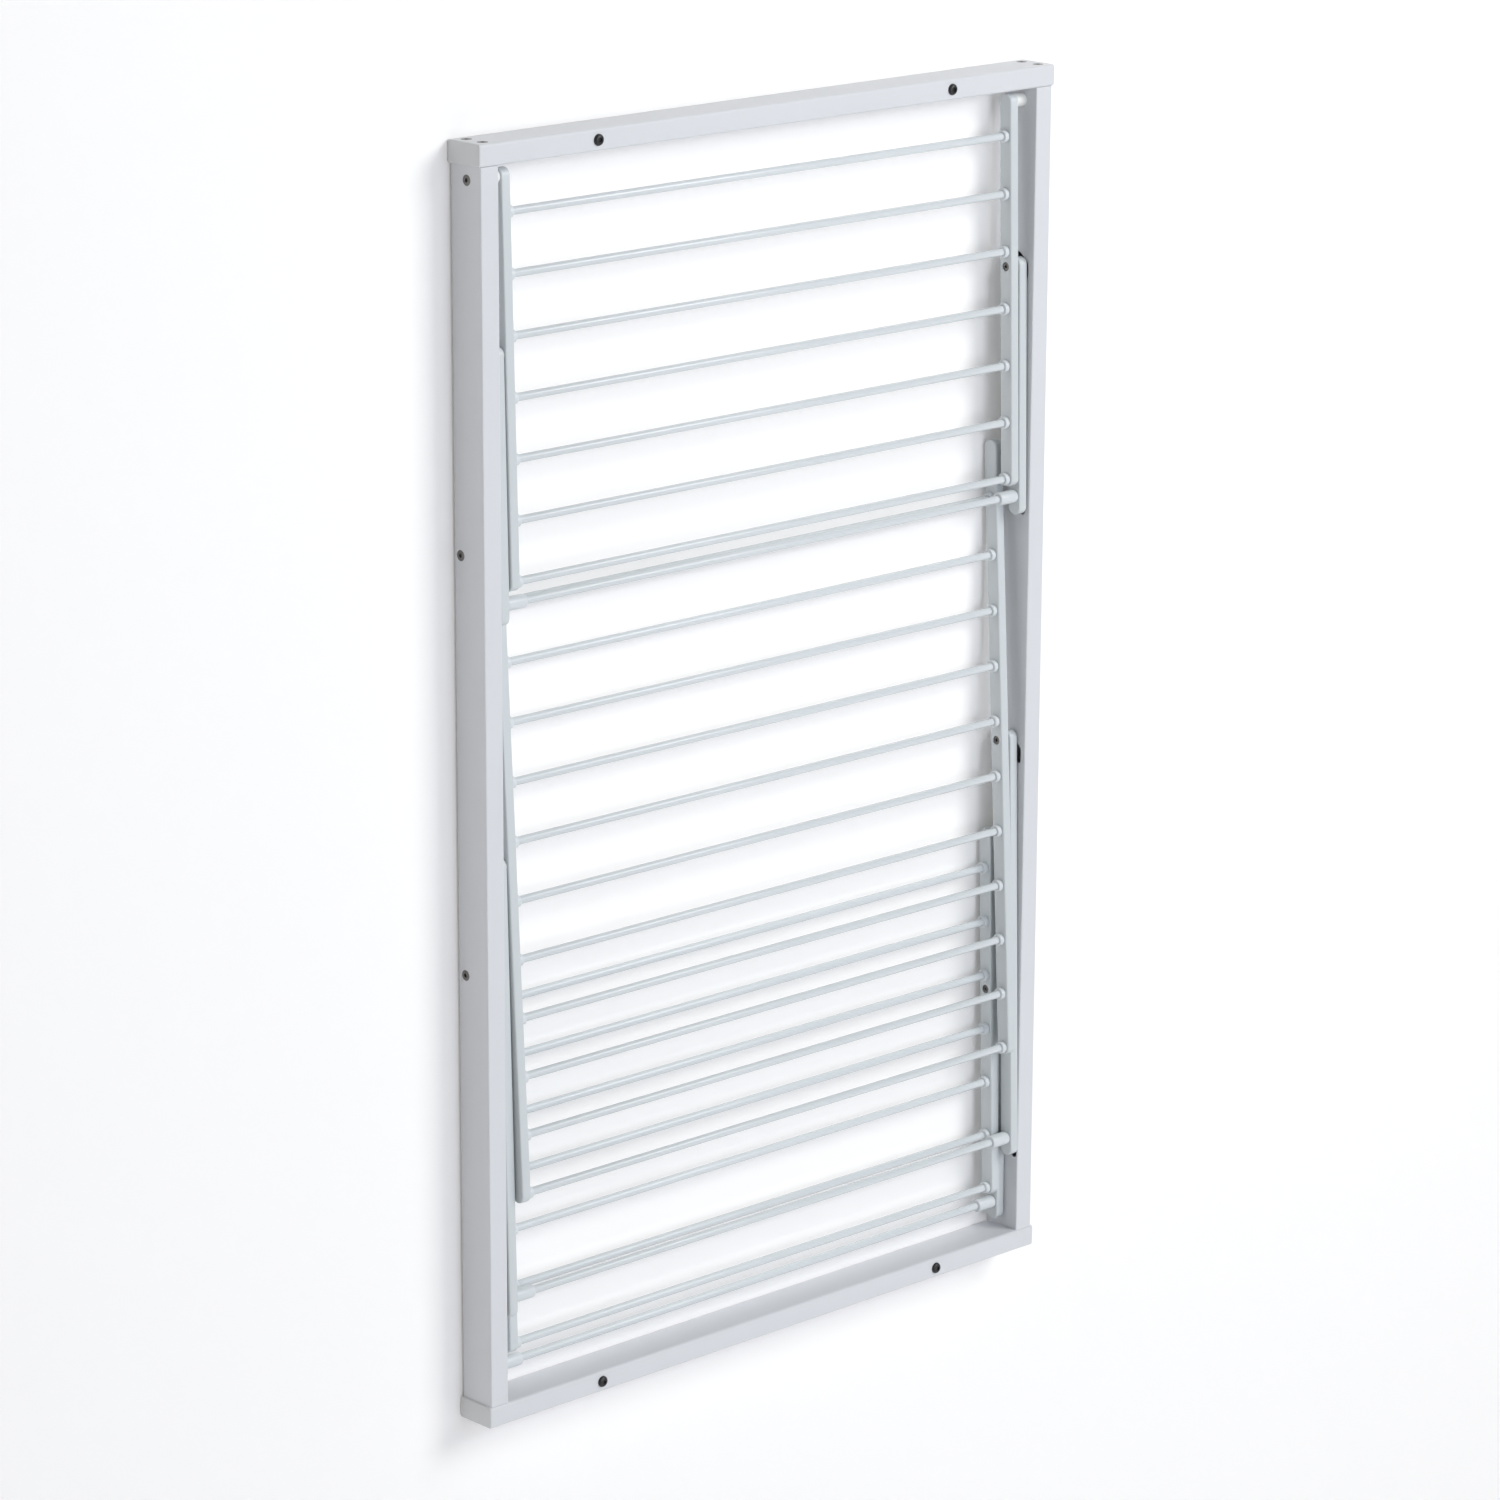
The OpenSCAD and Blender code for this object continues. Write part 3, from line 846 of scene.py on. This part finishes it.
# a wall screw along X: a domed head in front, a plain shank in the rail and a thread behind
def makeWallScrew():
    low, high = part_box("wall_screws")
    railDepth = sizeOf("top_rail").y
    headHeight = -low.y - railDepth
    rowSpacing = sizeOf("left_post").z + sizeOf("top_rail").z  # from rail to rail
    headRadius = (sizeOf("wall_screws").z - rowSpacing) / 2
    screw = addBar("wallScrew", -railDepth, 0, screwPlan["shank"], screwPlan["sides"])
    editPiece(screw)
    selectEnd(1)
    drawEnd(1, 0, headRadius / screwPlan["shank"])
    drawEnd(1, headHeight, 1)
    selectEdges(lambda edge: onRim(edge, headHeight, headRadius))
    bpy.ops.mesh.bevel(
        offset=screwPlan["domeRound"], segments=screwPlan["domeSteps"], affect="EDGES"
    )
    pitch = screwPlan["threadPitch"]
    turns = int((high.y - screwPlan["tip"]) / pitch)
    crest, root = screwPlan["threadRadius"], screwPlan["threadRoot"]
    selectEnd(-1)
    drawEnd(-1, 0, root / screwPlan["shank"])
    for turn in range(turns):
        drawEnd(-1, pitch * screwPlan["threadRise"], crest / root)
        drawEnd(-1, pitch * screwPlan["threadCrest"], 1)
        drawEnd(-1, pitch * screwPlan["threadFall"], root / crest)
    drawEnd(-1, high.y - turns * pitch, screwPlan["tipShare"])
    leaveEdit()
    outward(screw)
    cutSocket(screw, headHeight)
    screw.rotation_euler = (0, 0, -math.pi / 2)  # the head now looks out of the wall
    setPlace(screw)
    return screw, headRadius


pattern, headRadius = makeWallScrew()
low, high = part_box("wall_screws")
screws = []
for x in (low.x + headRadius, high.x - headRadius):
    for z in (low.z + headRadius, high.z - headRadius):
        place = (x, -sizeOf("top_rail").y, z)
        screws.append(copyOf(pattern, "wallScrew", place))
bpy.data.objects.remove(pattern)
finishSet(screws, "wallScrews", "frame", "wall_screws", blackSteel)

bushes = []
for tier in tiers:
    pivot = jointAt[tier + "_shelf_fold"]
    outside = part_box("pivot_bushes")[1].z - jointAt["upper_shelf_fold"].z
    bore = flatPlan["pinRadius"] + flatPlan["pinGap"]
    start = armEnd + screwPlan["moveGap"]
    bush = makeRing("bush", start, postStart, outside, bore, screwPlan["bushRound"])
    bushes += ringsAt(bush, [Vector((0, pivot.y, pivot.z))])

    pin = jointAt[tier + "_link_swing"]
    outside = sizeOf(tier + "_link_washers").z / 2
    end = linkStart - screwPlan["moveGap"]
    washer = makeRing("washer", armEnd, end, outside, bore, screwPlan["rimRound"])
    washers = ringsAt(washer, [Vector((0, pin.y, pin.z))])
    finishSet(
        washers,
        tier + "LinkWashers",
        tier + "_shelf",
        tier + "_link_washers",
        bushNylon,
    )

    start = linkEnd - flatPlan["guideSeat"] + flatPlan["seatGap"]
    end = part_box(tier + "_guide_pins")[1].x
    pinRod = addBar("guidePin", start, end, flatPlan["guideRadius"], screwPlan["sides"])
    roundEdges(pinRod, screwPlan["rimRound"], screwPlan["pinSteps"])
    pins = ringsAt(pinRod, [middleOf(tier + "_cross_bar")])
    finishSet(pins, tier + "GuidePins", tier + "_links", tier + "_guide_pins")
finishSet(bushes, "pivotBushes", "frame", "pivot_bushes", bushNylon)
print("fasteners made")


capPlan = {
    "plate": 2 * mm,
    "cornerRound": 2.5 * mm,
    "cornerSteps": 6,
    "faceRound": 1.1 * mm,
    "faceSteps": 5,
    "plugInset": 1.6 * mm,
    "plugLength": 24 * mm,
}


# the cap at the right end of the top rail: a plate with round corners and a plug behind it
def makeCap():
    railLow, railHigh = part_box("top_rail")
    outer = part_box("rail_end_caps")[1].x
    plate = capPlan["plate"]
    deselectAll()
    bpy.ops.mesh.primitive_cube_add(
        size=1,
        location=(outer - plate / 2, middleOf("top_rail").y, middleOf("top_rail").z),
        scale=(plate, railHigh.y - railLow.y, railHigh.z - railLow.z),
    )
    cap = bpy.context.object
    cap.name = "cap"
    setPlace(cap)
    editPiece(cap)
    selectEdges(lambda edge: abs((edge.verts[0].co - edge.verts[1].co).x) > plate / 2)
    bpy.ops.mesh.bevel(
        offset=capPlan["cornerRound"], segments=capPlan["cornerSteps"], affect="EDGES"
    )
    selectEdges(
        lambda edge: isSharp(edge) and min(v.co.x for v in edge.verts) > outer - tiny
    )
    bpy.ops.mesh.bevel(
        offset=capPlan["faceRound"], segments=capPlan["faceSteps"], affect="EDGES"
    )
    selectFaces(lambda face: isEnd(face) and face.normal.x < 0)
    bpy.ops.mesh.inset(thickness=capPlan["plugInset"], depth=0)
    bpy.ops.mesh.extrude_region_move(
        TRANSFORM_OT_translate={"value": (-capPlan["plugLength"], 0, 0)}
    )
    leaveEdit()
    return cap


topRight = makeCap()
topLeft = copyOf(topRight, "cap", mirror=toLeft)
caps = [topRight, topLeft]
for upper in (topRight, topLeft):
    caps.append(copyOf(upper, "cap", mirror=toBottom))
finishSet(caps, "railEndCaps", "frame", "rail_end_caps", capPlastic)

# the tubes and the blocks inside them keep their own shape
for node, material in [
    ("top_rail", framePaint),
    ("bottom_rail", framePaint),
    ("left_post", framePaint),
    ("right_post", framePaint),
    ("post_blocks", zincWithPaintedRecessShade),
]:
    for slot in nodes[node].material_slots:
        slot.material = material
print("caps and frame done")


roomPlan = {
    "wallGap": 0.3 * mm,
    "wallHalf": 6.0,
    "floorDrop": 0.62,
    "wallGlow": 0.075,
    "wallColour": (0.97, 0.955, 0.945, 1),
    "floorColour": (0.52, 0.52, 0.52, 1),
    "floorGlow": 0.26,
    "roughness": 0.9,
    "shine": 0.1,
    "skyColour": (0.97, 0.98, 1, 1),
    "skyLight": 0.05,
    "skySeen": 0.85,
}


# paint that shows from its front only, so that the back of the rack can be looked at
def roomMaterial(name, colour, glow):
    material = bpy.data.materials.new(name)
    material.use_nodes = True
    tree = material.node_tree
    principled = tree.nodes["Principled BSDF"]
    principled.inputs["Base Color"].default_value = colour
    principled.inputs["Roughness"].default_value = roomPlan["roughness"]
    principled.inputs["Specular IOR Level"].default_value = roomPlan["shine"]
    principled.inputs["Emission Color"].default_value = (1, 1, 1, 1)
    principled.inputs["Emission Strength"].default_value = glow
    clear = tree.nodes.new("ShaderNodeBsdfTransparent")
    side = tree.nodes.new("ShaderNodeNewGeometry")
    mix = tree.nodes.new("ShaderNodeMixShader")
    out = tree.nodes["Material Output"]
    tree.links.new(side.outputs["Backfacing"], mix.inputs[0])
    tree.links.new(principled.outputs[0], mix.inputs[1])
    tree.links.new(clear.outputs[0], mix.inputs[2])
    tree.links.new(mix.outputs[0], out.inputs["Surface"])
    return material


def addPanel(name, location, rotation, material):
    deselectAll()
    bpy.ops.mesh.primitive_plane_add(
        size=2 * roomPlan["wallHalf"], location=location, rotation=rotation
    )
    panel = bpy.context.object
    panel.name = name
    setPlace(panel)
    panel.data.materials.append(material)


wallPaint = roomMaterial("wallPaint", roomPlan["wallColour"], roomPlan["wallGlow"])
floorPaint = roomMaterial("floorPaint", roomPlan["floorColour"], roomPlan["floorGlow"])
addPanel("wall", (0, roomPlan["wallGap"], 0), (math.pi / 2, 0, 0), wallPaint)
floorLevel = cadBox[0].z - roomPlan["floorDrop"]
addPanel("floor", (0, 0, floorLevel), (0, 0, 0), floorPaint)

# soft panels of light, all aimed at the middle of the rack
softLights = [
    # name, place, width, height, watts, colour
    ("keyLight", (1.9, -3.1, 2.2), 2.0, 2.0, 98, (0.985, 1.0, 0.985)),
    ("frontLight", (-0.4, -4.3, 0.8), 2.4, 2.8, 76, (0.86, 0.90, 1.0)),
    ("leftLight", (-3.2, -2.7, 0.8), 2.0, 3.0, 5.5, (1.0, 0.92, 0.55)),
    ("backLight", (0.6, 4.5, 1.6), 3.0, 2.4, 60, (1.0, 1.0, 1.0)),
]
for name, place, width, height, watts, colour in softLights:
    light = bpy.data.lights.new(name, "AREA")
    light.shape = "RECTANGLE"
    light.size = width
    light.size_y = height
    light.energy = watts
    light.color = colour
    holder = bpy.data.objects.new(name, light)
    bpy.context.scene.collection.objects.link(holder)
    holder.location = place
    toMiddle = -Vector(place)
    holder.rotation_euler = toMiddle.to_track_quat("-Z", "Y").to_euler()

world = bpy.data.worlds.new("softRoom")
world.use_nodes = True
backdrop = world.node_tree.nodes["Background"]
backdrop.inputs["Color"].default_value = roomPlan["skyColour"]
ray = world.node_tree.nodes.new("ShaderNodeLightPath")
seen = world.node_tree.nodes.new("ShaderNodeMapRange")  # pale where it is seen, faint as a light
seen.inputs["To Min"].default_value = roomPlan["skyLight"]
seen.inputs["To Max"].default_value = roomPlan["skySeen"]
world.node_tree.links.new(ray.outputs["Is Camera Ray"], seen.inputs["Value"])
world.node_tree.links.new(seen.outputs[0], backdrop.inputs["Strength"])
bpy.context.scene.world = world
bpy.context.scene.view_settings.view_transform = "Standard"

cameraPlan = {
    "place": (-3.14, -3.365, 1.259),
    "yaw": math.radians(43.07),
    "pitch": math.radians(15.53),
    "roll": math.radians(-0.25),
    "lens": 131.95,
    "film": 36,
    "farthest": 50,
}


def addCamera(plan):
    yaw, pitch, roll = plan["yaw"], plan["pitch"], plan["roll"]
    forward = Vector(
        (
            math.sin(yaw) * math.cos(pitch),
            math.cos(yaw) * math.cos(pitch),
            -math.sin(pitch),
        )
    )
    right = Vector((math.cos(yaw), -math.sin(yaw), 0))
    down = forward.cross(right)
    tiltedRight = right * math.cos(roll) + down * math.sin(roll)
    tiltedDown = forward.cross(tiltedRight)
    lens = bpy.data.cameras.new("viewCamera")
    lens.lens = plan["lens"]
    lens.sensor_width = plan["film"]
    lens.clip_end = plan["farthest"]
    holder = bpy.data.objects.new("viewCamera", lens)
    bpy.context.scene.collection.objects.link(holder)
    turn = Matrix((tiltedRight, -tiltedDown, -forward)).transposed()
    holder.matrix_world = Matrix.Translation(plan["place"]) @ turn.to_4x4()
    bpy.context.scene.camera = holder


addCamera(cameraPlan)
print("room, light and camera set")
